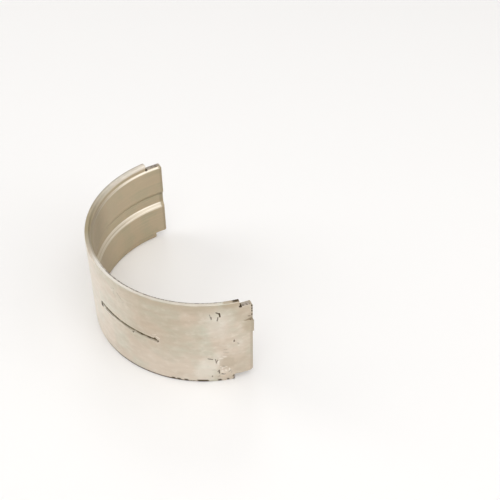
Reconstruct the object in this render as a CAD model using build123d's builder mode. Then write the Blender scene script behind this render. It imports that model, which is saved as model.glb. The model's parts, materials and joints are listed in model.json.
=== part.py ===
"""Upper half shell of a crankshaft main bearing, one formed and machined steel strip.

Frame: +Z runs along the bore axis, and the origin is on that axis at mid width.
The crown of the shell points to -X and its two parting faces look to +X.
Lengths are in millimetres, and angles are in degrees from +X towards +Y.
"""
from build123d import *
import math
import os

# Strip and bore
housing_bore = 64.0  # bore of the closed housing that grips the shell
free_spread = 1.0  # how much wider the loose shell springs open
wall = 2.0  # thickness from the journal surface to the back
full_width = 28.6  # width over the lips
end_width = 24.8  # width at the parting faces, where the lips are cut away

# Side edges: a thin outer lip stands proud of a chamfered inner shoulder
lip_thickness = 1.5
lip_rounding = 0.7  # radius from the lip's flat top down to its inner side
back_edge_break = 0.2  # chamfer where the lip's top meets the back
parting_edge_break = 0.2  # chamfer along the journal side of each parting face

# Stepped ends: the two long steps lie on one diagonal and the two short on the other
long_step = 5.2
short_step = 3.5
corner_radius = 0.6  # rounding of the strip's four corners
step_foot_radius = 0.4  # undercut at the foot of each upper step
step_foot_depth = 0.15  # how far the undercut goes into both faces of the step

# Oil groove, all the way round the journal surface
groove_rise = 0.3  # its middle lies slightly above mid width, and so does the slot's
groove_width = 6.0
groove_floor_width = 2.9
groove_depth = 0.9
groove_root_radius = 0.5

# Oil slot, punched through the floor of the groove
slot_length = 19.9
slot_width = 1.0
slot_offset_angle = 26.0  # from the crown towards the tang
slot_skew = 4.5  # its end near the tang dips, as punched

# Locating tang, pressed out of the wall at one parting face
tang_length = 3.0
tang_width = 3.9
tang_height = 0.8
tang_centre = 5.25  # above mid width
tang_root = 0.4  # how far the pressed metal reaches into the wall

overrun = 1.0  # how far each cutter runs past the metal it cuts

# Sizes that follow
outer_radius = (housing_bore + free_spread) / 2
bore_radius = outer_radius - wall
lip_inner_radius = outer_radius - lip_thickness
shoulder = lip_inner_radius - bore_radius
foot_reach = step_foot_radius - step_foot_depth
half_full = full_width / 2
half_end = end_width / 2
span = 180 * housing_bore / (2 * outer_radius)
crown_angle = 180.0
left_end_angle = crown_angle - span / 2
right_end_angle = crown_angle + span / 2
slot_angle = crown_angle + slot_offset_angle


def radial_direction(angle):
    return Vector(math.cos(math.radians(angle)), math.sin(math.radians(angle)), 0)


def section_plane(angle):
    """Plane through the bore axis: local x is the radius and local y is +Z."""
    outward = radial_direction(angle)
    return Plane(origin=(0, 0, 0), x_dir=outward, z_dir=outward.cross(Vector(0, 0, 1)))


def tangent_plane(angle, radius, toward):
    """Plane square to the radius: local x runs round the shell and local y is +Z.

    toward is 1 where local x follows a growing angle, and -1 where it goes back. The
    normal is the outward radius times toward, so an outward extrusion is toward times
    its depth.
    """
    outward = radial_direction(angle)
    along = radial_direction(angle + 90)
    return Plane(origin=outward * radius, x_dir=along * toward, z_dir=outward * toward)


def end_plane(angle, height, toward):
    """Level plane: local x is the radius at a parting face, local y runs into the shell."""
    outward = radial_direction(angle)
    return Plane(origin=(0, 0, height), x_dir=outward, z_dir=(0, 0, toward))


def at_radius(edge, radius):
    return abs(math.hypot(edge.center().X, edge.center().Y) - radius) < 0.001


def chord_drop(radius, reach):
    """Height over the bore axis of a circle's point that lies reach to one side."""
    return math.sqrt(radius**2 - reach**2)


with BuildPart() as bearing_shell:
    # Wall section: lips, shoulders and groove in one profile, swept round the bore axis
    with BuildSketch(section_plane(left_end_angle)) as wall_section:
        with BuildLine() as upper_half:
            Polyline(
                (bore_radius, 0),
                (bore_radius, half_end - shoulder),
                (lip_inner_radius, half_end),
                (lip_inner_radius, half_full - lip_rounding),
            )
            RadiusArc(
                upper_half.line @ 1,
                (lip_inner_radius + lip_rounding, half_full),
                lip_rounding,
            )
            Polyline(
                (lip_inner_radius + lip_rounding, half_full),
                (outer_radius - back_edge_break, half_full),
                (outer_radius, half_full - back_edge_break),
                (outer_radius, 0),
            )
            mirror(about=Plane.XZ)
        make_face()
        with BuildLine():
            groove_floor = bore_radius + groove_depth
            groove_mouth = bore_radius - overrun
            Polyline(
                (groove_mouth, groove_rise + groove_width / 2),
                (bore_radius, groove_rise + groove_width / 2),
                (groove_floor, groove_rise + groove_floor_width / 2),
                (groove_floor, groove_rise - groove_floor_width / 2),
                (bore_radius, groove_rise - groove_width / 2),
                (groove_mouth, groove_rise - groove_width / 2),
                close=True,
            )
        make_face(mode=Mode.SUBTRACT)
        groove_roots = wall_section.vertices().filter_by(
            lambda corner: abs(corner.X - groove_floor) < 0.001
        )
        fillet(groove_roots, groove_root_radius)
    revolve(axis=Axis.Z, revolution_arc=span)

    # Journal side of both parting faces
    parting_edges = bearing_shell.edges().filter_by(Axis.Z).filter_by(
        lambda edge: at_radius(edge, bore_radius)
    )
    chamfer(parting_edges, parting_edge_break)

    # Stepped ends: the lips are cut away beside each parting face and the corners rounded
    for angle, toward, upper_step, lower_step in (
        (left_end_angle, 1, long_step, short_step),
        (right_end_angle, -1, short_step, long_step),
    ):
        with BuildSketch(tangent_plane(angle, 0, toward)) as step_waste:
            with BuildLine():
                Polyline(
                    (-overrun, half_full + overrun),
                    (upper_step, half_full + overrun),
                    (upper_step, half_end),
                    (0, half_end),
                    (0, -half_end),
                    (lower_step, -half_end),
                    (lower_step, -half_full - overrun),
                    (-overrun, -half_full - overrun),
                    close=True,
                )
            make_face()
            strip_corners = step_waste.vertices().filter_by(
                lambda corner: abs(corner.X) < 0.001
            )
            fillet(strip_corners, corner_radius)
        extrude(amount=toward * (outer_radius + overrun), mode=Mode.SUBTRACT)

        # Undercut at the foot of the upper step, through the lip and not the shoulder
        lip_foot = chord_drop(lip_inner_radius, upper_step)
        with BuildSketch(tangent_plane(angle, lip_foot, toward)):
            with Locations((upper_step - foot_reach, half_end + foot_reach)):
                Circle(step_foot_radius)
        extrude(amount=toward * (lip_thickness + overrun), mode=Mode.SUBTRACT)

    # Oil slot
    slot_start = chord_drop(bore_radius, slot_length / 2) - overrun
    with BuildSketch(tangent_plane(slot_angle, slot_start, 1)):
        with Locations((0, groove_rise)):
            SlotOverall(slot_length, slot_width, rotation=-slot_skew)
    extrude(amount=outer_radius + overrun - slot_start, mode=Mode.SUBTRACT)

    # Tang: a wedge pressed out of the back, and the hollow it leaves in the journal side
    tang_bottom = tang_centre - tang_width / 2
    tang_back = chord_drop(outer_radius, tang_length)
    hollow_back = chord_drop(bore_radius, tang_length)
    with BuildSketch(end_plane(right_end_angle, tang_bottom, -1)):
        with BuildLine():
            Polyline(
                (outer_radius - tang_root, 0),
                (outer_radius + tang_height, 0),
                (tang_back, tang_length),
                (tang_back - tang_root, tang_length),
                close=True,
            )
        make_face()
    extrude(amount=-tang_width)
    with BuildSketch(end_plane(right_end_angle, tang_bottom, -1)):
        with BuildLine():
            Polyline(
                (bore_radius - overrun, 0),
                (bore_radius + tang_height, 0),
                (hollow_back, tang_length),
                (hollow_back - overrun, tang_length),
                close=True,
            )
        make_face()
    extrude(amount=-tang_width, mode=Mode.SUBTRACT)

bearing_shell.part.label = "bearing_shell"
os.makedirs("parts", exist_ok=True)
export_step(bearing_shell.part, "parts/bearing_shell.step")
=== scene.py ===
"""Half shell of a crankshaft main bearing, made in the order in which the real one is made.

A steel strip is drawn flat, blanked, slotted and lanced, marked with its wear, and then rolled.
While it is flat, x runs along the strip from the tang's end, y is the radius and z the width,
all in millimetres. Rolling turns that into the shared frame: the bore axis on Z, the crown at
-X and the parting faces to +X, in metres.
"""
import json
import math
import random
from collections import namedtuple
from types import SimpleNamespace

import bmesh
import bpy
from bpy.props import FloatProperty, FloatVectorProperty, PointerProperty
from mathutils import Matrix, Vector, noise
from mathutils.kdtree import KDTree


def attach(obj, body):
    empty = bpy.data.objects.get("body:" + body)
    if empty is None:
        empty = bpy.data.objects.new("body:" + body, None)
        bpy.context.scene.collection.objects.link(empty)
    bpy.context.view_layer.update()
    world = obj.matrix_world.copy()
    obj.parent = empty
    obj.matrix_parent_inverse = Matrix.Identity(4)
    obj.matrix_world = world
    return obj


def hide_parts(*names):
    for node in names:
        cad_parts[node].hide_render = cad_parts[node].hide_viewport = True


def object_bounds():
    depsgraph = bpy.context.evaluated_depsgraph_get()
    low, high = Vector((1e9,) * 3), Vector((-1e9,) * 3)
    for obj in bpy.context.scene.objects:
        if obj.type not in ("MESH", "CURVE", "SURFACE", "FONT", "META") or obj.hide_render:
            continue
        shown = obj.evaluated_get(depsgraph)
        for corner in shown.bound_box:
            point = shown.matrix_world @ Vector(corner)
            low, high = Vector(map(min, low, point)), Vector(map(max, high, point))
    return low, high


bl_info = {
    "name": "Main Bearing Half Shell",
    "version": (1, 0, 0),
    "blender": (4, 5, 0),
    "location": "3D View > Sidebar > Bearing",
    "description": "Models, finishes and lights one half shell of a crankshaft main bearing",
    "category": "Add Mesh",
}

MM = 0.001

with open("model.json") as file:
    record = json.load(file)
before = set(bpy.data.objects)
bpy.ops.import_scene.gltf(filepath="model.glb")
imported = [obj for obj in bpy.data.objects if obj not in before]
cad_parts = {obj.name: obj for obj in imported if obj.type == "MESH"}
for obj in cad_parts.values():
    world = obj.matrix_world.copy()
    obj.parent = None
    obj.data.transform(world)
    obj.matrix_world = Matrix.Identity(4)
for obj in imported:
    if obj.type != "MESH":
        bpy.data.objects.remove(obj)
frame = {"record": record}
cad_low, cad_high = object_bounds()
mounts = {mount["name"]: mount for mount in frame["record"]["mounts"]}


def length(name, millimetres, description):
    """A size property, given in millimetres and kept in metres."""
    return FloatProperty(
        name=name, description=description, default=millimetres * MM,
        min=0, precision=5, unit="LENGTH",
    )


def angle(name, degrees, description):
    """An angle property, given in degrees and kept in radians."""
    return FloatProperty(
        name=name, description=description, default=math.radians(degrees), subtype="ANGLE"
    )


def share(name, fraction, description):
    return FloatProperty(
        name=name, description=description, default=fraction, min=0, subtype="FACTOR"
    )


def lamp_share(lamp, fraction, kind):
    return share(f"{lamp} share", fraction, f"Part of the floor's light from the {kind}")


def lamp_azimuth(lamp, degrees):
    return angle(f"{lamp} azimuth", degrees, "From +X towards +Y")


def lamp_elevation(lamp, degrees):
    return angle(f"{lamp} elevation", degrees, "Above the floor")


def linear(hex_colour):
    """sRGB hex to the linear colour that shaders take."""
    channels = [int(hex_colour[place:place + 2], 16) / 255 for place in (1, 3, 5)]
    return [c / 12.92 if c <= 0.04045 else ((c + 0.055) / 1.055) ** 2.4 for c in channels]


def colour(name, hex_colour, description):
    return FloatVectorProperty(
        name=name, description=description, default=linear(hex_colour),
        min=0, max=1, subtype="COLOR",
    )


class ShellSizes(bpy.types.PropertyGroup):
    """The shell's sizes, as formed and machined"""

    outer_radius: length("Outer radius", mounts["back"]["dims"]["r_mm"], "Back of the sprung shell")
    bore_radius: length("Bore radius", mounts["journal"]["dims"]["r_mm"], "Journal surface")
    full_width: length("Full width", (cad_high.z - cad_low.z) / MM, "Width over the lips")
    end_width: length("End width", 24.8, "Width at the parting faces, where the lips are cut away")
    free_spread: length("Free spread", 1.0, "How much wider than its housing the loose shell is")
    lip_thickness: length("Lip thickness", 1.5, "The lips stand on this outer part of the wall")
    lip_rounding: length("Lip rounding", 0.7, "From the lip's flat top down to its inner side")
    back_edge_break: length("Back edge break", 0.2, "Rounding where the lip's top meets the back")
    relief_depth: length("Relief depth", 0.2, "Easing of the journal side at a parting face")
    relief_length: length("Relief length", 0.75, "How far that easing runs in along the strip")
    edge_rounding: length("Edge rounding", 0.1, "Tumbled rounding of every other sharp edge")
    long_step: length("Long step", 5.2, "Two lips stop this short of their parting face")
    short_step: length("Short step", 3.5, "The other two lips stop this short of theirs")
    corner_radius: length("Corner radius", 0.6, "Rounding of the strip's two upper corners")
    lower_corner_radius: length("Lower corner radius", 1.0, "Rounding of its two lower corners")
    step_foot_radius: length("Step foot radius", 0.4, "Undercut at the foot of each upper step")
    step_foot_depth: length("Step foot depth", 0.15, "How far the undercut goes into both faces")
    groove_rise: length("Groove rise", 0.3, "The oil groove and slot lie this far above mid width")
    groove_width: length("Groove width", 6.0, "Oil groove at the journal surface")
    groove_floor_width: length("Groove floor width", 2.9, "Oil groove at its floor")
    groove_depth: length("Groove depth", 0.9, "Oil groove, below the journal surface")
    groove_root_radius: length("Groove root radius", 0.5, "Between the groove's floor and sides")
    slot_length: length("Slot length", 19.9, "Oil slot, straight from end to end")
    slot_width: length("Slot width", 1.0, "Oil slot, across")
    slot_offset: angle("Slot offset", 26, "From the crown towards the tang")
    slot_skew: angle("Slot skew", 4.5, "The slot's end near the tang dips by this much")
    tang_length: length("Tang length", 3.0, "Tang, along the strip")
    tang_width: length("Tang width", 3.9, "Tang, across the strip")
    tang_height: length("Tang height", 0.8, "How far the tang stands out of the back")
    tang_centre: length("Tang centre", 5.25, "Middle of the tang, above mid width")


class WearSettings(bpy.types.PropertyGroup):
    """Handling marks on the back"""

    nick_depth: length("Nick depth", 0.14, "Deepest point of the sharp nicks")
    pit_depth: length("Pit depth", 0.07, "Deepest point of the corrosion pits")
    waviness: length("Waviness", 0.006, "How far the rolled back rises and falls")


class FinishColours(bpy.types.PropertyGroup):
    """Colours of the metal, as the eye sees them in white light"""

    tin: colour("Tin flash", "#DCCEBD", "Thin tin over the steel back")
    tin_cool: colour("Tin flash, cool", "#D0CDBC", "Where the flash is thicker")
    tin_dull: colour("Tin flash, dull", "#C9BAA6", "Streaks left by rolling")
    # Also painted highlights and painted light: the near rim's glint, the slot's lit edge and
    # glint, and the back's left side and lower half
    tin_rubbed: colour("Tin flash, rubbed", "#F3EDE4", "Where the housing has rubbed it bright")
    # Also painted shade, which dulls the cut surfaces up to the crown
    film_and_shade: colour("Oil film", "#C2B597", "Old oil, thin enough to see the metal through")
    stain: colour("Stain", "#C2B39D", "Oil varnish left by the housing")
    lining: colour("Lining", "#BBAC93", "Bored bearing alloy on the journal side")
    lining_cool: colour("Lining, cool", "#B2A990", "Clouds where the alloy has dulled")
    lining_pale: colour("Lining, pale", "#C3B296", "Lines left by the boring tool")
    # Given only to cut faces that look up, so its brightness there is in part painted light from
    # above
    machined: colour("Machined edge", "#F1E8D8", "Freshly cut shoulders and groove sides")
    sheared: colour("Sheared edge", "#BFB5A9", "Torn steel where the strip was cropped and punched")
    # Also painted shade: the contact shadow on the lower edge, the lip's inner edge, step and foot,
    # the slot, the undercuts, the bend and the burrs at a parting face
    grime_and_shade: colour("Grime", "#4A3A24", "Old oil in the slot, undercuts and nicks")


class StageSettings(bpy.types.PropertyGroup):
    """Floor, light and camera"""

    floor: colour("Floor", "#FBFAF9", "Warm white card")
    backdrop: colour("Backdrop", "#FAF8F6", "The dome of the light tent")
    horizon_light: share("Horizon light", 0.34, "Brightness of the light tent at the floor")
    skirt_light: share("Skirt light", 0.95, "Brightness of the white cloth along the tent's foot")
    zenith_light: share("Zenith light", 0.55, "Brightness of the light tent overhead")
    front_share: lamp_share("Front", 0.38, "soft box over the front")
    front_azimuth: lamp_azimuth("Front", -105)
    front_elevation: lamp_elevation("Front", 70)
    key_share: lamp_share("Key", 0.09, "soft box at the right")
    key_azimuth: lamp_azimuth("Key", -55)
    key_elevation: lamp_elevation("Key", 25)
    left_share: lamp_share("Left", 0.12, "soft box at the left")
    left_azimuth: lamp_azimuth("Left", 145)
    left_elevation: lamp_elevation("Left", 26)
    window_share: lamp_share("Window", 0.05, "small lamp behind")
    window_azimuth: lamp_azimuth("Window", 70)
    window_elevation: lamp_elevation("Window", 42)
    right_share: lamp_share("Right", 0.05, "lamp far right")
    right_azimuth: lamp_azimuth("Right", -12)
    right_elevation: lamp_elevation("Right", 45)
    camera_heading: angle("Camera heading", -25, "Turn of the camera about the vertical")
    camera_tilt: angle("Camera tilt", 47.98, "Up from looking straight down")
    camera_roll: angle("Camera roll", -0.323, "Turn of the camera about its own axis")


def in_millimetres(group):
    """A property group's numbers, with lengths in millimetres and angles in radians."""
    numbers = SimpleNamespace()
    for prop in group.bl_rna.properties:
        if prop.type == "FLOAT":
            scale = 1 / MM if prop.unit == "LENGTH" else 1
            setattr(numbers, prop.identifier, getattr(group, prop.identifier) * scale)
    return numbers


def shell_sizes(group):
    """The driving sizes with those that follow from them."""
    size = in_millimetres(group)
    size.half_full = size.full_width / 2
    size.half_end = size.end_width / 2
    size.lip_inner_radius = size.outer_radius - size.lip_thickness
    size.wall = size.outer_radius - size.bore_radius
    size.shoulder = size.lip_inner_radius - size.bore_radius
    size.foot_reach = size.step_foot_radius - size.step_foot_depth
    size.groove_floor = size.bore_radius + size.groove_depth
    size.wall_at_groove = size.outer_radius - size.groove_floor
    size.span = math.pi * (size.outer_radius - size.free_spread / 2) / size.outer_radius
    size.strip_length = size.span * size.outer_radius
    size.tang_end_angle = math.pi + size.span / 2
    return size


# The flat strip

OVERRUN = 1.0  # how far a cutter runs past the metal
MERGE = 0.0005  # places closer than this are one
UNDERCUT_BITE = 0.04  # how far its tool goes below the lip
UPRIGHT = Matrix.Rotation(math.pi / 2, 4, "X")  # stands a round tool along the radius
# Segments of each rounding, and of the full circles of the two round tools
SEGMENTS = SimpleNamespace(
    edge_break=3, lip=8, groove_root=4, corner=6, tumbled=2, undercut=32, slot=28
)
FLAT_TURN = math.radians(0.5)  # faces that meet with less turn become one
SHARP_TURN = math.radians(32)  # outward edges that turn more than this are tumbled


def same(first, second):
    return abs(first - second) < MERGE


def off_end(x, size):
    """How far a place along the strip is from the nearer end."""
    return min(x, size.strip_length - x)


def round_off(bm, geometry, reach, segments, affect="EDGES"):
    """Rounds edges or corners, or slopes them with one segment, from a reach away on each side."""
    bmesh.ops.bevel(
        bm, geom=geometry, offset=reach, offset_type="OFFSET", segments=segments,
        profile=0.5, affect=affect, material=-1,
    )


def flat_outline(points):
    """A bmesh that holds one flat face."""
    bm = bmesh.new()
    bm.faces.new([bm.verts.new(point) for point in points])
    return bm


def push_out(bm, along):
    """Extrudes a bmesh's one flat face into a closed block, with its faces outwards."""
    made = bmesh.ops.extrude_face_region(bm, geom=bm.faces[:])["geom"]
    moved = [item for item in made if isinstance(item, bmesh.types.BMVert)]
    bmesh.ops.translate(bm, vec=along, verts=moved)
    bmesh.ops.recalc_face_normals(bm, faces=bm.faces[:])
    return bm


def draw_section(bm, size):
    """The wall's section at x = 0, mirrored from its upper half, without the groove."""
    upper_half = (
        (size.bore_radius, 0),
        (size.bore_radius, size.half_end - size.shoulder),
        (size.lip_inner_radius, size.half_end),
        (size.lip_inner_radius, size.half_full),
        (size.outer_radius, size.half_full),
        (size.outer_radius, 0),
    )
    corners = [bm.verts.new((0, y, z)) for y, z in upper_half]
    for first, second in zip(corners, corners[1:]):
        bm.edges.new((first, second))
    bmesh.ops.mirror(bm, geom=bm.verts[:] + bm.edges[:], merge_dist=MERGE, axis="Z")
    bmesh.ops.contextual_create(bm, geom=bm.edges[:])
    middle = [vert for vert in bm.verts if same(vert.co.z, 0)]
    bmesh.ops.dissolve_verts(bm, verts=middle)
    for y, reach, segments in (
        (size.outer_radius, size.back_edge_break, SEGMENTS.edge_break),
        (size.lip_inner_radius, size.lip_rounding, SEGMENTS.lip),
    ):
        corners = [
            vert for vert in bm.verts
            if same(vert.co.y, y) and same(abs(vert.co.z), size.half_full)
        ]
        round_off(bm, corners, reach, segments, "VERTICES")


def groove_cutter(size):
    """The turning tool's track: a trough with sloping sides and rounded roots."""
    mouth = size.groove_width / 2
    floor = size.groove_floor_width / 2
    root = size.groove_root_radius * math.tan(math.atan2(size.groove_depth, mouth - floor) / 2)
    outline = (
        (size.bore_radius - OVERRUN, mouth),
        (size.bore_radius, mouth),
        (size.groove_floor, floor),
        (size.groove_floor, -floor),
        (size.bore_radius, -mouth),
        (size.bore_radius - OVERRUN, -mouth),
    )
    bm = flat_outline([(-OVERRUN, y, z + size.groove_rise) for y, z in outline])
    roots = [vert for vert in bm.verts if same(vert.co.y, size.groove_floor)]
    round_off(bm, roots, root, SEGMENTS.groove_root, "VERTICES")
    return push_out(bm, (size.strip_length + 2 * OVERRUN, 0, 0))


def ease_parting_faces(strip, size):
    """Slopes the journal side off towards both end faces."""
    edges = [
        edge for edge in strip.edges
        if all(same(vert.co.y, size.bore_radius) for vert in edge.verts)
        and same(edge.verts[0].co.x, edge.verts[1].co.x)
    ]
    round_off(strip, edges, size.relief_depth, 1)
    further = size.relief_length - size.relief_depth
    for vert in strip.verts:
        if same(off_end(vert.co.x, size), size.relief_depth):
            vert.co.x += further if vert.co.x < size.strip_length / 2 else -further


def step_waste(size, end, toward, upper_step, lower_step):
    """The metal that is cropped off one end: both lips and the two corners."""
    past = size.half_full + OVERRUN
    outline = (
        (-OVERRUN, past),
        (upper_step, past),
        (upper_step, size.half_end),
        (0, size.half_end),
        (0, -size.half_end),
        (lower_step, -size.half_end),
        (lower_step, -past),
        (-OVERRUN, -past),
    )
    start = size.bore_radius - OVERRUN
    bm = flat_outline([(end + toward * x, start, z) for x, z in outline])
    for corner in [vert for vert in bm.verts if same(vert.co.x, end)]:
        radius = size.corner_radius if corner.co.z > 0 else size.lower_corner_radius
        round_off(bm, [corner], radius, SEGMENTS.corner, "VERTICES")
    return push_out(bm, (0, size.outer_radius + OVERRUN - start, 0))


def undercut(size, foot):
    """The round tool that relieves an upper step's foot (x, z), through the lip alone."""
    bottom = size.lip_inner_radius - UNDERCUT_BITE
    top = size.outer_radius + OVERRUN
    bm = bmesh.new()
    place = Matrix.Translation((foot[0], (top + bottom) / 2, foot[1]))
    bmesh.ops.create_cone(
        bm, cap_ends=True, segments=SEGMENTS.undercut, depth=top - bottom,
        radius1=size.step_foot_radius, radius2=size.step_foot_radius, matrix=place @ UPRIGHT,
    )
    return bm


def step_feet(size):
    """Middles (x, z) of the two undercuts."""
    height = size.half_end + size.foot_reach
    return (
        (size.short_step - size.foot_reach, height),
        (size.strip_length - size.long_step + size.foot_reach, height),
    )


def slot_punch(size):
    """A round-ended punch for the oil slot, turned to the slot's skew."""
    chord = size.slot_length / (2 * size.outer_radius)
    straight = 2 * size.outer_radius * math.asin(chord) - size.slot_width
    middle = size.outer_radius * (size.span / 2 - size.slot_offset)
    bottom = size.bore_radius - OVERRUN
    bm = bmesh.new()
    bmesh.ops.create_circle(
        bm, cap_ends=True, segments=SEGMENTS.slot, radius=size.slot_width / 2, matrix=UPRIGHT
    )
    for vert in bm.verts:
        vert.co.x += math.copysign(straight / 2, vert.co.x)
    skew = Matrix.Rotation(-size.slot_skew, 3, "Y")
    bmesh.ops.rotate(bm, cent=(0, 0, 0), matrix=skew, verts=bm.verts[:])
    bmesh.ops.translate(bm, vec=(middle, bottom, size.groove_rise), verts=bm.verts[:])
    return push_out(bm, (0, size.outer_radius + OVERRUN - bottom, 0))


def tang_wedge(size, surface, back, start):
    """A wedge that rises out of a surface towards the end. back is its far side's radius."""
    slope = size.tang_height / size.tang_length
    bottom = size.tang_centre - size.tang_width / 2
    outline = (
        (start, back, bottom),
        (start, surface + (size.tang_length - start) * slope, bottom),
        (size.tang_length, surface, bottom),
        (size.tang_length, back, bottom),
    )
    return push_out(flat_outline(outline), (0, 0, size.tang_width))


def as_object(bm, name):
    mesh = bpy.data.meshes.new(name)
    bm.to_mesh(mesh)
    bm.free()
    made = bpy.data.objects.new(name, mesh)
    bpy.context.scene.collection.objects.link(made)
    return made


def press(strip, tool, operation):
    """Works a tool into the strip, and returns the strip's new bmesh. Both are used up."""
    work = as_object(strip, "strip_in_press")
    cutter = as_object(tool, "press_tool")
    cut = work.modifiers.new("press", "BOOLEAN")
    cut.operation = operation
    cut.solver = "EXACT"
    cut.object = cutter
    evaluated = work.evaluated_get(bpy.context.evaluated_depsgraph_get())
    result = bmesh.new()
    result.from_mesh(evaluated.to_mesh())
    evaluated.to_mesh_clear()
    for used in (work, cutter):
        mesh = used.data
        bpy.data.objects.remove(used)
        bpy.data.meshes.remove(mesh)
    bmesh.ops.remove_doubles(result, verts=result.verts[:], dist=MERGE)
    bmesh.ops.dissolve_limit(
        result, angle_limit=FLAT_TURN, verts=result.verts[:], edges=result.edges[:]
    )
    if not result.faces:
        raise RuntimeError("the press left nothing of the strip")
    return result


def flat_strip(size):
    """The strip as it lies before rolling, with every edge and opening cut."""
    strip = bmesh.new()
    draw_section(strip, size)
    push_out(strip, (size.strip_length, 0, 0))
    ease_parting_faces(strip, size)
    for cutter in (
        groove_cutter(size),
        step_waste(size, 0, 1, size.short_step, size.long_step),
        step_waste(size, size.strip_length, -1, size.long_step, size.short_step),
        *(undercut(size, foot) for foot in step_feet(size)),
        slot_punch(size),
    ):
        strip = press(strip, cutter, "DIFFERENCE")
    wedge = tang_wedge(size, size.outer_radius, size.outer_radius - size.tang_height / 2, 0)
    hollow = tang_wedge(size, size.bore_radius, size.bore_radius - OVERRUN, -OVERRUN)
    strip = press(strip, wedge, "UNION")
    return press(strip, hollow, "DIFFERENCE")


def break_edges(strip, size):
    """Rounds the sharp outward edges, as tumbling does."""
    sharp = [
        edge for edge in strip.edges
        if edge.is_manifold and edge.is_convex and edge.calc_face_angle() > SHARP_TURN
    ]
    round_off(strip, sharp, size.edge_rounding, SEGMENTS.tumbled)


# Surface grid, so that the strip can be rolled and marked

CELL = 0.5  # widest row anywhere
MARK_CELL = 0.13  # widest row round the marks
SLOT_ROW = 0.22  # widest row down the slot's walls
SLICE_MERGE = MERGE / 5
EDGE_SHADE_BAND = 0.42  # height of the thin line of painted contact shadow along the lower edge
AXES = {"x": Vector((1, 0, 0)), "y": Vector((0, 1, 0)), "z": Vector((0, 0, 1))}
TILT = 0.3  # past this y of its normal a face looks in or out, and short of it sideways


def cut_across(strip, geometry, axis, place):
    """Cuts geometry in two, square to one axis, and returns what it became."""
    return bmesh.ops.bisect_plane(
        strip, geom=geometry, dist=SLICE_MERGE, plane_no=AXES[axis], plane_co=AXES[axis] * place
    )["geom"]


def slice_rows(strip, geometry, axis, start, stop, cell):
    """Cuts geometry into rows no wider than a cell, and returns what it became."""
    count = math.ceil((stop - start) / cell)
    for number in range(1, count):
        place = start + (stop - start) * number / count
        geometry = cut_across(strip, geometry, axis, place)
    return geometry


def whole(bm):
    return bm.verts[:] + bm.edges[:] + bm.faces[:]


def with_parts(faces):
    """Faces with their points and edges, in the same order on every run."""
    return [*dict.fromkeys(part for face in faces for part in (*face.verts, *face.edges)), *faces]


def in_slot(face, size):
    """Whether a face is a wall of the oil slot."""
    middle = face.calc_center_median()
    return (
        abs(middle.z - size.groove_rise) < size.groove_floor_width / 2
        and size.groove_floor + MERGE < middle.y < size.outer_radius - MERGE
        and size.slot_length / 2 < middle.x < size.strip_length - size.long_step
        and abs(face.normal.y) < TILT
    )


def slice_all(strip, size):
    """Rows both ways over the strip, a cut along the lower edge, and rows down the slot's walls."""
    slice_rows(strip, whole(strip), "x", 0, size.strip_length, CELL)
    slice_rows(strip, whole(strip), "z", -size.half_full, size.half_full, CELL)
    cut_across(strip, whole(strip), "z", EDGE_SHADE_BAND - size.half_full)
    walls = [face for face in strip.faces if in_slot(face, size)]
    slice_rows(strip, with_parts(walls), "y", size.groove_floor, size.outer_radius, SLOT_ROW)


# Wear and painted light. Its notes go from 0 to 1, and the finishes read them from the mesh. Grime
# is thick old oil and painted shade, film a thin coat of oil and painted shade, rubbed is bright
# wear and painted highlight and light, and seam a line of painted shade broken up into beads.

WEAR_AND_LIGHT_NOTES = ("grime_and_shade", "stain", "rubbed", "film_and_shade", "seam")
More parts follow.
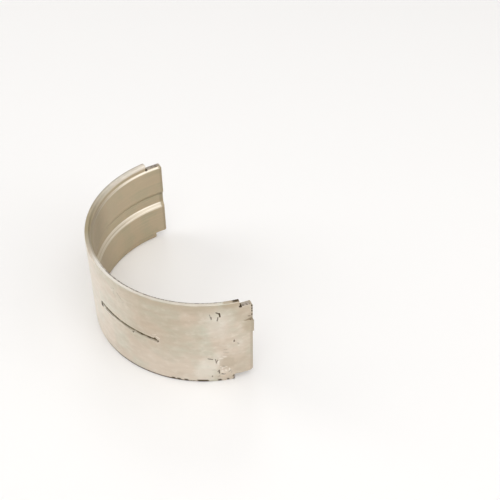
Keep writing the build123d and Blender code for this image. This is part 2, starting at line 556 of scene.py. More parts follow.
# Marks on the back, each from one point (x, z) to another: half width, share of the full depth
# and how dark it is, which is old oil except in the rows marked as painted shadow
NICKS_AND_SHADOWS = (
    ((11.25, 11.2), (10.9, 9.5), 0.13, 0.4, 0.45),
    ((10.9, 10.2), (10.85, 9.5), 0.16, 0.6, 0.72),
    ((9.6, 11.7), (8.75, 11.15), 0.2, 0.8, 0.85),
    ((8.75, 11.3), (8.65, 10.2), 0.24, 1, 1),
    ((9.15, 9.9), (9.35, 8.8), 0.18, 0.8, 0.72),
    ((5.1, 0.75), (5.15, 0.3), 0.24, 0.8, 0.72),
    ((12.1, -5.25), (11, -5.55), 0.17, 0.7, 0.78),
    ((10.2, -5.6), (10, -7.1), 0.15, 0.6, 0.65),
    ((9.6, -6), (10, -6.8), 0.16, 0.6, 0.65),
    ((9.3, -9.95), (9.3, -11.2), 0.17, 0.8, 0.91),
    ((8.6, -11.6), (8.1, -11.75), 0.18, 0.8, 0.91),
    ((11.2, -12.1), (11.2, -12.4), 0.2, 0.7, 0.59),
    ((8.3, -8.5), (7.8, -8.75), 0.14, 0.5, 0.39),
    ((8.1, -3.1), (6.6, -3.4), 0.14, 0.3, 0.2),
    ((7.9, -2.1), (7.1, -2.4), 0.14, 0.3, 0.2),
    ((4.2, -0.5), (4, -0.8), 0.2, 0.5, 0.2),
    ((32.8, -0.3), (32.9, -0.8), 0.26, 0.9, 1),
    ((35.8, 0.2), (35.75, 0), 0.18, 0.5, 0.9),
    # Painted shadow at the slot's end, drawn as a dark nick
    ((45.75, 0.95), (45.85, 0.1), 0.64, 0.5, 1),
    ((43.7, 0.35), (40.5, 0.15), 0.22, 0.5, 1),
    ((26.7, -0.35), (25.5, -0.6), 0.5, 0.7, 1),
    ((26.1, 0.1), (25.9, -0.75), 0.4, 0.5, 1),
    ((5.35, -12.6), (5.3, -14.1), 0.16, 0.3, 0.9),
    ((37.3, 10.9), (36.1, 9.6), 0.16, 0.5, 0.26),
    ((38.9, 10.2), (38.2, 8.8), 0.16, 0.4, 0.16),
    # Dents along the parting face's edge, darkened with painted shadows of burrs
    ((0.25, 12), (0.2, 11.7), 0.28, 0.4, 1),
    ((0.25, 10.95), (0.2, 10.75), 0.26, 0.4, 1),
    ((0.25, 10.1), (0.2, 9.9), 0.26, 0.4, 1),
    ((0.3, 8.9), (0.25, 8.6), 0.22, 0.3, 0.9),
    ((1.3, 8.55), (0.7, 8.35), 0.15, 0.3, 0.6),
)
# Areas of corrosion pits: middle (x, z), half length, half width, how many
PIT_FIELDS = (
    ((10.3, -10.4), 1.9, 2.2, 9),
    ((7.2, -10.2), 1.5, 1.2, 8),
    ((37.6, 9.6), 2.4, 2.2, 12),
    ((26.1, 0.5), 0.9, 0.9, 7),
)
# Between these each pit draws its radius, its share of the full depth and its oil
PIT_RADIUS = (0.06, 0.14)
PIT_DEPTH = (0.3, 1)
PIT_OIL = (0.1, 0.5)
WEAR_SEED = 11  # of the random places of the pits
# Bright scrapes, each from one point to another, with its half width and strength
SCRAPES = (
    ((8.9, -8.6), (8.3, -9.5), 0.16, 0.9),
    ((8.4, -9), (7.5, -8.95), 0.14, 0.9),
    ((6.84, -9.5), (6.84, -10.6), 0.11, 1),
    ((6.45, -9.6), (6.45, -10.5), 0.1, 0.9),
    ((8.6, -10.1), (8.1, -11.1), 0.17, 0.9),
    ((7.6, -9.7), (7.4, -10.7), 0.13, 0.8),
    ((9.6, -8.2), (9.5, -6.3), 0.24, 1),
    ((9.4, -5.7), (7.6, -4.9), 0.2, 0.9),
    ((9.6, -4.6), (8.4, -4.1), 0.18, 0.8),
    ((10.3, -7.6), (10.1, -8.9), 0.2, 0.8),
    ((4.3, -1.1), (3.9, -1.5), 0.16, 0.8),
    ((3.3, 0.3), (3, -0.2), 0.14, 0.6),
    ((25.6, 1), (24.8, 0.5), 0.16, 0.8),
    ((26.6, 1.3), (25.9, 1.5), 0.13, 0.6),
    ((44.6, 1.7), (45.2, 1.4), 0.14, 0.7),
    ((42.8, -0.1), (38.6, -0.3), 0.16, 0.8),
    ((9.1, 9.4), (8.3, 7.6), 0.16, 0.5),
)
# Stained and rubbed areas, with two areas of painted light among the rubs: middle (x, z), half
# length, half width, slant, strength and how softly they end
STAINS = (
    ((7.45, -7.3), 2.5, 2, -0.22, 0.8, 0.08),
    ((0.9, 5.2), 1.7, 2.1, 0, 0.65, 0.9),
    ((21, 14.6), 19, 3, 0, 0.65, 0.9),
    ((26.5, 2.5), 9.5, 12.5, 0, 0.42, 1),
    ((34, 9), 9, 5.5, 0, 0.25, 1),
    ((2, 9.8), 2.8, 2.6, 0, 0.4, 0.8),
    ((2.6, -8.6), 4, 4.6, 0, 0.45, 0.9),
    ((6.6, -12.4), 1.3, 1.6, 0, 0.25, 0.5),
    ((6, 13.8), 2.4, 1.2, 0, 0.9, 0.6),
)
RUBS_AND_SHEEN = (
    ((12.6, -9.4), 3.2, 4.4, 0.3, 0.6, 0.9),
    ((9.6, -4.3), 1.4, 1.3, 0.3, 0.4, 0.8),
    ((9.2, 7), 3, 4.5, 0, 0.35, 1),
    # Painted reflection of the bright floor over the lower half of the back
    ((34, -13.5), 30, 11, 0, 0.28, 1),
    # Painted light on the back round the crown
    ((60, -1), 21, 18, 0, 0.6, 1),
    ((6, -3), 5, 5, 0, 0.15, 1),
)
BLOT_POWER = 4  # how square a blot is, where 2 would be an ellipse
# Uneven outlines: how far each wavers, its features to the millimetre along and across, and a
# layer of noise of its own
BLOT_OUTLINES = ((0.09, 1.1, 1.1, 5), (0.06, 3, 2, 1))
MARK_OUTLINE = (0.35, 5, 5, 1)
SLOT_SHADE_OUTLINE = (0.9, 1 / 1.1, 0, 3)
BACK_SWELL = (1, 1 / 6, 1 / 4, 9)
# In a mark's half widths: how far it counts, where and how wide its bright rim is, and how far a
# scrape spreads
MARK_REACH = 2
MARK_RIM = 1.45
MARK_RIM_SPREAD = 0.5
SCRAPE_SPREAD = 1.3
SCRAPED_STAIN = 0.3  # share of a stain that a scrape leaves
DENT_DARK_FILL = 2.2  # how soon down a dent its darkness is whole
# Stretches of the lower edge, in x, painted black as dashes of the contact shadow under it
EDGE_SHADOW_DASHES = (
    (5.2, 5.8), (6.7, 7.3), (8.6, 9.6), (12, 15.3), (17.5, 18.7), (19.8, 20.7), (21.4, 22)
)
# Stretches in x: from where to where they are whole, and how long they fade in and out
UPPER_SHADE_LINE = (9, 40, 2, 8)  # a thin beaded line of painted shade along the upper lip's inner edge, on its rounding
LOWER_SHADE_LINE = (23, 40, 14, 8)  # a thin beaded line of painted contact shadow along the lower edge
RIM_FILM = (61, 66, 14, 20)  # a film of oil on the rim
BEND_SHADE = (54, 70, 6, 9)  # painted shade deep in the bend, on the inner surfaces
CUT_SHADE_FILM = (0, 52, 1, 34)  # painted shade, as a film that dulls the cut surfaces up to the crown and fades out past it
RIM_HIGHLIGHT = (36, 46, 8, 6)  # where a painted highlight brightens the near rim most
RIM_SHADE_REACH = 0.22  # how far that line of painted shade reaches down the rounding
FAR_RIM = 70.0  # past this x the rim's flat top is duller
STEP_SHADE = (3.3, 5.4)  # where, in x, the upper lip's top and inner rounding are painted dark as shade near its step
LIP_STAIN_END = 7.8  # up to this x the upper lip is stained
# Down the slot's walls, how deep the metal is left lit and over what depth painted shade then
# deepens
SLOT_LIT_DEPTH = 0.3
SLOT_SHADING_DEPTH = 0.3
SLOT_GLINT = (43.9, 45.2)  # where, in x, a painted glint keeps the slot's end bright
SLOT_EDGE_SHADE = 0.1  # a wall with less shade than this gets a painted highlight, as its lit edge
EDGE_BREAK_SHARE = 0.9  # of the edge break, what counts as the back's lower edge
FOOT_SHADE_REACH = 1.1  # how far the dark goes round an undercut, in its radii: old oil, and painted shade in the notch
# How far in from each parting face the back is stained and grimy
END_STAIN_BAND = 0.9
END_GRIME_BAND = 0.5
# How strong each kind of wear, painted shade and painted highlight is, by place
# In the bend, along the lower edge and the lip's inner edge, at the step and at the lip's foot this
# is painted shade, and at the undercuts partly
GRIME_AND_SHADE = SimpleNamespace(
    bend=0.23, rim=0.08, lower_shade_line=0.75, upper_shade_line=0.42, foot=0.9, end=0.12, relief=0.2,
    far_top=0.28, step_shade=0.55, lip_foot_shade=0.3,
)
STAIN = SimpleNamespace(lip=0.9, end=0.45)
# A painted highlight on the slot's lit edge and near its end; on the rim rubbed metal with a
# painted highlight
RUBBED_AND_SHEEN = SimpleNamespace(lower_lip=0.6, slot_edge_sheen=0.6, slot_glint=0.8, rim=0.45, rim_highlight=0.5)
UPPER_SHADE_BEADS = 0.7  # strength of the beads of painted shade on the upper lip


def scattered_pits():
    """Pits as very short nicks, the same on every run."""
    chance = random.Random(WEAR_SEED)
    pits = []
    for (x, z), half_length, half_width, count in PIT_FIELDS:
        for _ in range(count):
            start_x = x + chance.uniform(-1, 1) * half_length
            start_z = z + chance.uniform(-1, 1) * half_width
            radius = chance.uniform(*PIT_RADIUS)
            stop_x = start_x + radius * chance.uniform(-1, 1)
            depth, oil = chance.uniform(*PIT_DEPTH), chance.uniform(*PIT_OIL)
            pits.append(((start_x, start_z), (stop_x, start_z), radius, depth, oil))
    return pits


def overlaps(first, second):
    """Whether two patches, given by their low and high corners, overlap."""
    return all(
        first[0][axis] < second[1][axis] and second[0][axis] < first[1][axis] for axis in (0, 1)
    )


def refine_round(strip, size, marks):
    """Finer cells round the marks, in patches that merge where marks lie close."""
    patches = []
    for start, stop, radius, *_ in marks:
        low = [min(pair) - MARK_REACH * radius for pair in zip(start, stop)]
        high = [max(pair) + MARK_REACH * radius for pair in zip(start, stop)]
        for patch in [p for p in patches if overlaps(p, (low, high))]:
            patches.remove(patch)
            low = [min(pair) for pair in zip(low, patch[0])]
            high = [max(pair) for pair in zip(high, patch[1])]
        patches.append((low, high))
    for low, high in patches:
        faces = []
        for face in strip.faces:
            middle = face.calc_center_median()
            inside = low[0] < middle.x < high[0] and low[1] < middle.z < high[1]
            if inside and same(middle.y, size.outer_radius):
                faces.append(face)
        if faces:
            parts = slice_rows(strip, with_parts(faces), "x", low[0], high[0], MARK_CELL)
            slice_rows(strip, parts, "z", low[1], high[1], MARK_CELL)


def off_line(place, start, stop):
    """How far a point of the back lies from a mark's middle line."""
    run_x, run_z = stop[0] - start[0], stop[1] - start[1]
    run = run_x**2 + run_z**2
    off_x, off_z = place.x - start[0], place.z - start[1]
    along = min(1, max(0, (off_x * run_x + off_z * run_z) / run)) if run else 0
    return math.hypot(off_x - along * run_x, off_z - along * run_z)


def waver(place, outline):
    """How far an uneven outline goes in or out at a place on the strip."""
    reach, along, across, layer = outline
    return reach * noise.noise((place.x * along, place.z * across, layer))


def within_blot(place, blot):
    """Strength of a blot at a place: full inside a squarish outline, none outside."""
    (middle_x, middle_z), half_length, half_width, slant, strength, edge = blot
    across = (place.z - middle_z) / half_width
    along = (place.x - middle_x + slant * (place.z - middle_z)) / half_length
    away = (along**BLOT_POWER + across**BLOT_POWER) ** (1 / BLOT_POWER)
    ragged = sum(waver(place, outline) for outline in BLOT_OUTLINES)
    return strength * min(1, max(0, (1 - away - 2 * ragged) / edge + 0.5))


def film_at(x, stretch):
    """Strength of a stretch at a place along the strip."""
    start, stop, fade_in, fade_out = stretch
    return min(1, max(0, 1 - max((start - x) / fade_in, (x - stop) / fade_out)))


def raise_note(vert, layer, strength):
    vert[layer] = max(vert[layer], min(1, strength))


def mark_back(strip, size, wear):
    """Marks the back and notes its wear and painted light. Returns the layers of notes."""
    pits = scattered_pits()
    refine_round(strip, size, (*NICKS_AND_SHADOWS, *pits))
    layers = strip.verts.layers.float
    notes = SimpleNamespace(**{name: layers.new(name) for name in WEAR_AND_LIGHT_NOTES})
    back = [vert for vert in strip.verts if vert.co.y > size.outer_radius - 2 * MERGE]
    tree = KDTree(len(back))
    for number, vert in enumerate(back):
        tree.insert((vert.co.x, 0, vert.co.z), number)
        vert[notes.stain] = max(within_blot(vert.co, blot) for blot in STAINS)
        vert[notes.rubbed] = max(within_blot(vert.co, blot) for blot in RUBS_AND_SHEEN)
    tree.balance()

    def touched(start, stop, radius):
        """Points round a mark, and how many half widths each is from its line."""
        middle = ((start[0] + stop[0]) / 2, 0, (start[1] + stop[1]) / 2)
        reach = math.dist(start, stop) / 2 + MARK_REACH * radius
        for place, number, _ in tree.find_range(middle, reach):
            away = off_line(place, start, stop) / radius
            yield number, away + waver(place, MARK_OUTLINE)

    for start, stop, radius, strength in SCRAPES:
        for number, away in touched(start, stop, radius):
            raise_note(back[number], notes.rubbed, strength * max(0, SCRAPE_SPREAD - away))
            if away < 1:
                back[number][notes.stain] *= SCRAPED_STAIN
    depths = [0.0] * len(back)
    for marks, full_depth in ((NICKS_AND_SHADOWS, wear.nick_depth), (pits, wear.pit_depth)):
        for start, stop, radius, depth, oil in marks:
            for number, away in touched(start, stop, radius):
                dent = max(0, 1 - away**2)
                bright = max(0, MARK_RIM_SPREAD - abs(away - MARK_RIM))
                depths[number] = max(depths[number], full_depth * depth * dent)
                raise_note(back[number], notes.grime_and_shade, oil * min(1, DENT_DARK_FILL * dent))
                raise_note(back[number], notes.rubbed, depth * bright)
    for vert, depth in zip(back, depths):
        swell = (1 + waver(vert.co, BACK_SWELL)) / 2
        vert.co.y -= depth + wear.waviness * swell
    return notes


def shade_slot_wall(vert, size, notes):
    """Painted shade in the slot, darker with depth and uneven along it, with a painted highlight on
    its lit edge.
    """
    # A painted glint near the slot's end
    if SLOT_GLINT[0] < vert.co.x < SLOT_GLINT[1]:
        vert[notes.rubbed], vert[notes.grime_and_shade] = RUBBED_AND_SHEEN.slot_glint, 0.0
        return
    lit_depth = SLOT_LIT_DEPTH * (1 + waver(vert.co, SLOT_SHADE_OUTLINE))
    depth = size.outer_radius - vert.co.y
    raise_note(vert, notes.grime_and_shade, max(0, depth - lit_depth) / SLOT_SHADING_DEPTH)
    if vert[notes.grime_and_shade] < SLOT_EDGE_SHADE:
        vert[notes.rubbed] = RUBBED_AND_SHEEN.slot_edge_sheen


def oil_and_shade_upper_lip(vert, size, notes):
    """Old oil on the upper lip, its stain, its rubbed brightness and painted highlight, and painted
    shade along its inner edge, at its step and at its foot.
    """
    x, z = vert.co.x, vert.co.z
    rounding_start = size.lip_inner_radius + size.lip_rounding
    on_top = z > size.half_full - MERGE
    rounded = z > size.half_full - size.lip_rounding and vert.co.y < rounding_start + MERGE
    at_step = STEP_SHADE[0] < x < STEP_SHADE[1]
    rim = film_at(x, RIM_FILM)
    if on_top or rounded:
        vert[notes.film_and_shade] = rim
        vert[notes.stain] = STAIN.lip if x < LIP_STAIN_END else 0.0
        # The rim's rubbed brightness, with a painted highlight on the near rim
        rim_sheen = RUBBED_AND_SHEEN.rim + RUBBED_AND_SHEEN.rim_highlight * film_at(x, RIM_HIGHLIGHT)
        vert[notes.rubbed] = rim_sheen * (1 - max(vert[notes.stain], rim))
    else:
        raise_note(vert, notes.film_and_shade, rim)
        vert[notes.stain] = vert[notes.rubbed] = 0.0
    raise_note(vert, notes.grime_and_shade, GRIME_AND_SHADE.rim * rim)
    # Past FAR_RIM the flat top is duller; near the step it is painted dark as shade
    if on_top and not rounded and (x > FAR_RIM or at_step):
        raise_note(vert, notes.grime_and_shade, GRIME_AND_SHADE.far_top if x > FAR_RIM else GRIME_AND_SHADE.step_shade)
    # Painted shade in the corner where the lip stands on the shoulder
    if z < size.half_end + 4 * size.edge_rounding:
        raise_note(vert, notes.grime_and_shade, GRIME_AND_SHADE.lip_foot_shade)
    # Painted shade at full strength on the rounding near the step
    elif rounded and at_step:
        vert[notes.grime_and_shade] = 1.0
    # A line of painted shade along the lip's inner edge
    elif rounded and size.half_full - RIM_SHADE_REACH < z < size.half_full - MERGE:
        line = film_at(x, UPPER_SHADE_LINE)
        vert[notes.seam] = UPPER_SHADE_BEADS * line
        raise_note(vert, notes.grime_and_shade, GRIME_AND_SHADE.upper_shade_line * line)


def shade_lower_edge(vert, below_top, notes):
    """A thin beaded line of painted contact shadow along the back's lower edge, and black painted
    shadow dashes over it.
    """
    if below_top < EDGE_SHADE_BAND + MERGE:
        vert[notes.seam] = film_at(vert.co.x, LOWER_SHADE_LINE)
        raise_note(vert, notes.grime_and_shade, GRIME_AND_SHADE.lower_shade_line * vert[notes.seam])
    if any(start < vert.co.x < stop for start, stop in EDGE_SHADOW_DASHES):
        vert[notes.grime_and_shade] = 1.0


def in_relief(face, size):
    """Whether a face is the eased journal side at a parting face."""
    middle = face.calc_center_median()
    at_end = off_end(middle.x, size) < size.relief_length
    return at_end and face.normal.y < -TILT and middle.y < size.groove_floor + MERGE


def dirt_and_shade_edges(strip, size, notes):
    """Notes where old oil has gathered, where shade is painted and where an edge is bright, partly
    as a painted highlight.
    """
    for vert in strip.verts:
        x, y, z = vert.co
        depth = size.outer_radius - y
        below_top = size.half_full - abs(z)
        if depth > 2 * size.edge_rounding:
            # Painted shade that dulls the cut surfaces
            vert[notes.stain], vert[notes.film_and_shade] = 0.0, film_at(x, CUT_SHADE_FILM)
            # Painted shade deep in the bend
            raise_note(vert, notes.grime_and_shade, GRIME_AND_SHADE.bend * film_at(x, BEND_SHADE))
        if z > size.half_end + 2 * size.edge_rounding and depth > size.back_edge_break - MERGE:
            oil_and_shade_upper_lip(vert, size, notes)
        elif below_top < MERGE:
            vert[notes.rubbed] = RUBBED_AND_SHEEN.lower_lip
        # The back's lower edge, where the contact shadow with the card is painted
        elif z < 0 and depth < size.back_edge_break * EDGE_BREAK_SHARE and below_top < CELL:
            shade_lower_edge(vert, below_top, notes)
        # At each undercut: old oil, and painted shade in the notch
        for foot_x, foot_z in step_feet(size):
            off_foot = math.hypot(x - foot_x, z - foot_z) / size.step_foot_radius
            if off_foot < FOOT_SHADE_REACH and depth < size.lip_thickness + size.edge_rounding:
                vert[notes.grime_and_shade] = GRIME_AND_SHADE.foot
        if off_end(x, size) < END_STAIN_BAND and depth < size.wall / 4:
            raise_note(vert, notes.stain, STAIN.end)
            raise_note(vert, notes.grime_and_shade, GRIME_AND_SHADE.end if off_end(x, size) < END_GRIME_BAND else 0.0)
    for face in strip.faces:
        if in_slot(face, size):
            for vert in face.verts:
                shade_slot_wall(vert, size, notes)
        elif in_relief(face, size):
            for vert in face.verts:
                raise_note(vert, notes.grime_and_shade, GRIME_AND_SHADE.relief)


def map_strip(strip):
    """Notes each point's place on the flat strip, in metres, for patterns that follow it."""
    layer = strip.loops.layers.uv.new("strip")
    for face in strip.faces:
        for loop in face.loops:
            loop[layer].uv = (loop.vert.co.x * MM, loop.vert.co.z * MM)


def roll_strip(strip, size):
    """Rolls the strip round the bore axis, the tang's end first, and turns it to metres."""
    for vert in strip.verts:
        turn = size.tang_end_angle - vert.co.x / size.outer_radius
        vert.co = Vector((vert.co.y * math.cos(turn), vert.co.y * math.sin(turn), vert.co.z)) * MM


# Finishes

BACK, LINING, MACHINED, SHEARED = range(4)
BACK_DEPTH = 0.35  # how far the back's finish goes round its edges
FLASH_AND_SHEEN_REACH = 1.6  # how far down the upper lip the flash goes, in its roundings, partly as a painted sheen on its inner side
UP_TILT = 0.25  # past this z of its normal a face looks up
CROPPED_TILT = 0.5  # past this x of its normal it lies across the strip
CREASE = math.radians(38)  # edges that turn more than this are shaded sharp

# A noise pattern: how long and wide its features are in millimetres, the noise at which it starts
# and at which it is whole, its detail, and whether it follows the strip round
Pattern = namedtuple("Pattern", "along across low high detail rolled", defaults=(2.0, False))
# Beads of painted shade along an edge
SHADE_BEADS = Pattern(along=0.6, across=0.6, low=0.48, high=0.56, rolled=True)
GRIT_DETAIL = 3.0  # octaves of noise in a metal's grit
ROUGHNESS_SPREAD = 0.08  # the roughness varies by this much either way
# A Mix node's sockets for colours, by number, as their names aren't unique
FACTOR, UNDER, OVER, MIXED = 0, 6, 7, 2


def choose_finish(strip, size):
    """Gives each face its finish, by where it lies and which way it looks."""
    for face in strip.faces:
        middle = face.calc_center_median()
        depth = size.outer_radius - middle.y
        side = abs(middle.z)
        end_gap = off_end(middle.x, size)
        if face.normal.y > TILT and depth < BACK_DEPTH:
            finish = BACK
        elif in_slot(face, size) or end_gap < MERGE:
            finish = MACHINED
        elif in_relief(face, size):
            finish = LINING
        elif depth < -MERGE:
            finish = SHEARED
        elif side > size.half_end + MERGE:
            cropped = abs(face.normal.x) > CROPPED_TILT
            # The tin reaches down the lip's inner side, partly as a painted sheen
            flash_and_sheen = middle.z > size.half_full - FLASH_AND_SHEEN_REACH * size.lip_rounding
            finish = SHEARED if cropped else BACK if flash_and_sheen else LINING
        elif side > size.half_end - MERGE and end_gap < size.long_step + size.step_foot_radius:
            finish = SHEARED if depth < size.lip_thickness / 2 else MACHINED
        # Faces that look up, on the shoulder and the groove's lower side, get the bright machined
        # finish, and those that look down the darker lining: painted light from above
        elif face.normal.z > UP_TILT and (
            side > size.half_end - size.shoulder or depth > size.wall_at_groove
        ):
            finish = MACHINED
        else:
            finish = LINING
        face.material_index = finish


def add(tree, kind, values=(), **settings):
    """Adds a node. values are its inputs by name or number, as values or outputs to link."""
    node = tree.nodes.new("ShaderNode" + kind)
    for name, value in settings.items():
        setattr(node, name, value)
    for name, value in dict(values).items():
        socket = node.inputs[name]
        if isinstance(value, bpy.types.NodeSocket):
            tree.links.new(value, socket)
        else:
            socket.default_value = value
    return node


def per_mm(millimetres):
    """Noise scale for features so many millimetres across, on places in metres."""
    return 1 / (millimetres * MM)


def draw_pattern(tree, pattern, place, strip):
    """A pattern as a factor, on the object's own coordinates or on the strip's."""
    across = per_mm(pattern.across)
    fitted = add(tree, "Mapping", {
        "Vector": strip if pattern.rolled else place,
        "Scale": (per_mm(pattern.along), across, across),
    })
    grain = add(tree, "TexNoise", {
        "Vector": fitted.outputs["Vector"], "Scale": 1.0, "Detail": pattern.detail
    })
    factor = add(tree, "MapRange", {
        "Value": grain.outputs["Fac"], "From Min": pattern.low, "From Max": pattern.high
    })
    return factor.outputs["Result"]


def finish_metal(name, colours, base, tints, filmed_and_shaded, roughness, grit, grit_depth):
    """A metal with a gritty surface, under the wear and painted light that the mesh notes.

    tints are patterns, each with its colour, over the base. filmed is the colour where a film of
    old oil lies, and where painted shade dulls the cut surfaces. grit is how wide its grains are
    and grit_depth how deep, in millimetres.
    """
    made = bpy.data.materials.new(name)
    made.use_nodes = True
    tree = made.node_tree
    tree.nodes.clear()
    place = add(tree, "TexCoord").outputs["Object"]
    strip = add(tree, "UVMap", uv_map="strip").outputs["UV"]
    notes = {
        wear: add(tree, "Attribute", attribute_name=wear).outputs["Fac"] for wear in WEAR_AND_LIGHT_NOTES
    }
    # Painted shade lines along the lip's inner edge and the lower edge, broken into beads
    shade_beads = add(tree, "Math", {
        0: notes["seam"], 1: draw_pattern(tree, SHADE_BEADS, place, strip)
    }, operation="MULTIPLY")
    tint = (*base, 1)
    for factor, over in (
        *((draw_pattern(tree, pattern, place, strip), colour) for pattern, colour in tints),
        (notes["film_and_shade"], filmed_and_shaded),
        (notes["stain"], colours.stain),
        (notes["rubbed"], colours.tin_rubbed),
        (notes["grime_and_shade"], colours.grime_and_shade),
        (shade_beads.outputs[0], colours.grime_and_shade),
    ):
        mix = add(tree, "Mix", {FACTOR: factor, UNDER: tint, OVER: (*over, 1)}, data_type="RGBA")
        tint = mix.outputs[MIXED]
    grain = add(tree, "TexNoise", {"Vector": place, "Scale": per_mm(grit), "Detail": GRIT_DETAIL})
    rough = add(tree, "MapRange", {
        "Value": grain.outputs["Fac"],
        "To Min": roughness - ROUGHNESS_SPREAD, "To Max": roughness + ROUGHNESS_SPREAD,
    })
    bump = add(tree, "Bump", {"Height": grain.outputs["Fac"], "Distance": grit_depth * MM})
    shader = add(tree, "BsdfPrincipled", {
        "Base Color": tint, "Metallic": 1.0,
        "Roughness": rough.outputs["Result"], "Normal": bump.outputs["Normal"],
    })
    add(tree, "OutputMaterial", {"Surface": shader.outputs["BSDF"]})
    return made


def tin_flashed_steel(colours):
    """Tin flash on rolled steel: a satin skin, warm grey with cooler clouds and dull streaks."""
    clouds = Pattern(along=7, across=7, low=0.4, high=0.6)
    streaks = Pattern(along=6, across=1.8, low=0.4, high=0.85, detail=3.0, rolled=True)
    flecks = Pattern(along=2.4, across=1.7, low=0.5, high=1.1, detail=4.0, rolled=True)
    return finish_metal(
        "tin_flashed_steel", colours, colours.tin, (
            (clouds, colours.tin_cool), (streaks, colours.tin_dull), (flecks, colours.tin_rubbed)
        ), filmed_and_shaded=colours.film_and_shade, roughness=0.5, grit=0.4, grit_depth=0.012,
    )


def bored_lining(colours):
    """Bearing alloy, fine-bored: dull khaki grey with paler lines round the bore.

    The real lines are four to the millimetre, and these two, so that they just show.
    """
    clouds = Pattern(along=5, across=5, low=0.42, high=0.62)
    lines = Pattern(along=40, across=0.5, low=0.35, high=0.9, rolled=True)
    return finish_metal(
        "bored_bearing_alloy", colours, colours.lining, (
            (clouds, colours.lining_cool), (lines, colours.lining_pale)
        ), filmed_and_shaded=colours.lining, roughness=0.46, grit=0.5, grit_depth=0.008,
    )


def machined_edge(colours):
    """Alloy and steel as cut, at shoulders and groove sides: the brightest metal, which only the
    sides that look up get, as painted light from above.
    """
    lines = Pattern(along=25, across=0.3, low=0.4, high=0.75, rolled=True)
    return finish_metal(
        "machined_edge", colours, colours.machined, ((lines, colours.lining_pale),),
        filmed_and_shaded=colours.film_and_shade, roughness=0.42, grit=0.5, grit_depth=0.006,
    )


def sheared_edge(colours):
    """Steel torn by crop and punch: dull grey, with dark ragged spots."""
    tears = Pattern(along=0.5, across=0.5, low=0.5, high=0.64, detail=3.0)
    return finish_metal(
        "sheared_edge", colours, colours.sheared, ((tears, colours.grime_and_shade),),
        filmed_and_shaded=colours.sheared, roughness=0.6, grit=0.3, grit_depth=0.02,
    )


# In the order of BACK, LINING, MACHINED and SHEARED
FINISHES = (tin_flashed_steel, bored_lining, machined_edge, sheared_edge)


# Stage

# Where the camera stands, in millimetres, and its lens, worked out from the rims in the photograph
CAMERA_PLACE = (-73.5, -186.9, 184.3)
PIXELS_ACROSS = 500
FOCAL_PIXELS = 964.5  # its focal length, in pixels of the picture
SENSOR = 36.0  # in millimetres across
FLOOR_RADIUS = 0.9  # in metres, with the tent's white foot behind it in low views
FLOOR_SEGMENTS = 96
FLOOR_GAP = 0.02  # in millimetres, so that lips and card share no plane
CARD_ROUGHNESS = 0.85
CARD_SPECULAR = 0.2
SKIRT = (0.04, 0.14)  # the white foot fades between these heights, as sines
# How far each lamp stands from the shell and how wide it is, in metres
LAMPS = {
    "front": (0.6, 0.5),
    "key": (0.8, 0.6),
    "left": (0.8, 0.5),
    "window": (0.9, 0.3),
    "right": (0.8, 0.4),
}


def card_floor(stage):
    """Warm white card under the shell: matt, so it takes a soft shadow and no highlight."""
    bm = bmesh.new()
    bmesh.ops.create_circle(bm, cap_ends=True, segments=FLOOR_SEGMENTS, radius=FLOOR_RADIUS)
    bmesh.ops.translate(bm, vec=(0, 0, cad_low.z - FLOOR_GAP * MM), verts=bm.verts[:])
    floor = as_object(bm, "floor_card")
    card = bpy.data.materials.new("white_card")
    card.use_nodes = True
    shader = card.node_tree.nodes["Principled BSDF"]
    shader.inputs["Base Color"].default_value = (*stage.floor, 1)
    shader.inputs["Roughness"].default_value = CARD_ROUGHNESS
    shader.inputs["Specular IOR Level"].default_value = CARD_SPECULAR
    floor.data.materials.append(card)


def soft_lamp(stage, name):
    """A soft box aimed at the shell, which gives its share of the card's light."""
    distance, width = LAMPS[name]
    azimuth, elevation, part = (
        getattr(stage, f"{name}_{setting}") for setting in ("azimuth", "elevation", "share")
    )
    lamp = bpy.data.lights.new(f"{name}_lamp", "AREA")
    lamp.shape = "SQUARE"
    lamp.size = width
    lamp.energy = part * math.pi**2 * distance**2 / math.sin(elevation)
    lit = bpy.data.objects.new(lamp.name, lamp)
    level = math.cos(elevation)
    away = Vector((math.cos(azimuth) * level, math.sin(azimuth) * level, math.sin(elevation)))
    lit.location = away * distance
    lit.rotation_euler = away.to_track_quat("Z", "Y").to_euler()
    bpy.context.scene.collection.objects.link(lit)


def light_tent(stage):
    """Even light from a pale dome, brighter overhead, with a white foot."""
    world = bpy.data.worlds.new("light_tent")
    bpy.context.scene.world = world
    world.use_nodes = True
    tree = world.node_tree
    tree.nodes.clear()
    toward = add(tree, "SeparateXYZ", {"Vector": add(tree, "TexCoord").outputs["Generated"]})
    dome = add(tree, "MapRange", {
        "Value": toward.outputs["Z"],
        "To Min": stage.horizon_light, "To Max": stage.zenith_light,
    })
    skirt = add(tree, "MapRange", {
        "Value": toward.outputs["Z"], "From Min": SKIRT[0], "From Max": SKIRT[1],
        "To Min": stage.skirt_light, "To Max": 0,
    })
    strength = add(tree, "Math", {
        0: dome.outputs["Result"], 1: skirt.outputs["Result"]
    }, operation="MAXIMUM")
    sky = add(tree, "Background", {
        "Color": (*stage.backdrop, 1), "Strength": strength.outputs["Value"]
    })
    add(tree, "OutputWorld", {"Surface": sky.outputs["Background"]})


def photo_camera(stage):
    """The camera, where the photograph's perspective puts it."""
    data = bpy.data.cameras.new("photo_camera")
    data.sensor_width = SENSOR
    data.lens = SENSOR * FOCAL_PIXELS / PIXELS_ACROSS
    data.clip_start = MM
    camera = bpy.data.objects.new("photo_camera", data)
    heading = Matrix.Rotation(stage.camera_heading, 4, "Z")
    tilt = Matrix.Rotation(stage.camera_tilt, 4, "X")
    roll = Matrix.Rotation(stage.camera_roll, 4, "Z")
    camera.matrix_world = Matrix.Translation(Vector(CAMERA_PLACE) * MM) @ heading @ tilt @ roll
    bpy.context.scene.collection.objects.link(camera)
    bpy.context.scene.camera = camera


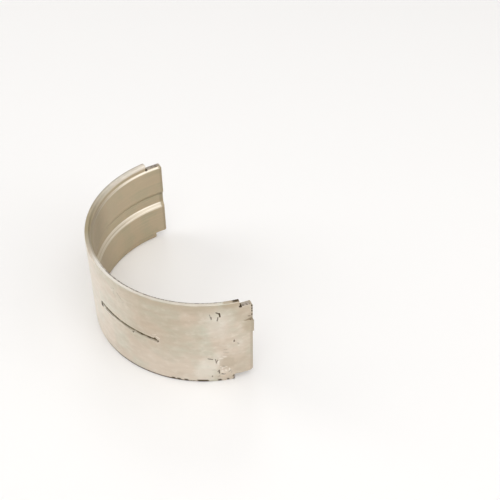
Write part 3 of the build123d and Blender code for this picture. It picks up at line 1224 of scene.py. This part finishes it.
class BEARING_OT_half_shell(bpy.types.Operator):
    """Draws, cuts, marks, rolls and finishes the half shell"""

    bl_idname = "bearing.half_shell"
    bl_label = "Half Shell"

    def execute(self, context):
        size = shell_sizes(context.scene.shell_sizes)
        strip = flat_strip(size)
        break_edges(strip, size)
        slice_all(strip, size)
        choose_finish(strip, size)
        notes = mark_back(strip, size, in_millimetres(context.scene.shell_wear))
        dirt_and_shade_edges(strip, size, notes)
        map_strip(strip)
        roll_strip(strip, size)
        for face in strip.faces:
            face.smooth = True
        shell = as_object(strip, "half_shell")
        shell.data.set_sharp_from_angle(angle=CREASE)
        colours = context.scene.shell_colours
        for finish in FINISHES:
            shell.data.materials.append(finish(colours))
        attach(shell, "root")
        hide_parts("bearing_shell")
        return {"FINISHED"}


class BEARING_OT_stage(bpy.types.Operator):
    """Lays the floor, sets the lamps and places the camera"""

    bl_idname = "bearing.stage"
    bl_label = "Stage"

    def execute(self, context):
        stage = context.scene.shell_stage
        card_floor(stage)
        for lamp in LAMPS:
            soft_lamp(stage, lamp)
        light_tent(stage)
        photo_camera(stage)
        context.scene.view_settings.view_transform = "Standard"
        return {"FINISHED"}


class BEARING_PT_panel(bpy.types.Panel):
    """Sizes, colours and steps of the half shell"""

    bl_idname = "BEARING_PT_panel"
    bl_label = "Main Bearing Half Shell"
    bl_space_type = "VIEW_3D"
    bl_region_type = "UI"
    bl_category = "Bearing"

    def draw(self, context):
        layout = self.layout
        for operator in (BEARING_OT_half_shell, BEARING_OT_stage):
            layout.operator(operator.bl_idname)
        for group in GROUPS:
            settings = getattr(context.scene, group)
            box = layout.box()
            for prop in settings.bl_rna.properties:
                if prop.identifier not in ("rna_type", "name"):
                    box.prop(settings, prop.identifier)


GROUPS = {
    "shell_sizes": ShellSizes,
    "shell_wear": WearSettings,
    "shell_colours": FinishColours,
    "shell_stage": StageSettings,
}
CLASSES = (*GROUPS.values(), BEARING_OT_half_shell, BEARING_OT_stage, BEARING_PT_panel)


def register():
    for cls in CLASSES:
        bpy.utils.register_class(cls)
    for name, group in GROUPS.items():
        setattr(bpy.types.Scene, name, PointerProperty(type=group))


def unregister():
    for name in GROUPS:
        delattr(bpy.types.Scene, name)
    for cls in reversed(CLASSES):
        bpy.utils.unregister_class(cls)


def main():
    register()
    bpy.ops.bearing.half_shell()
    bpy.ops.bearing.stage()


if __name__ == "__main__":
    main()
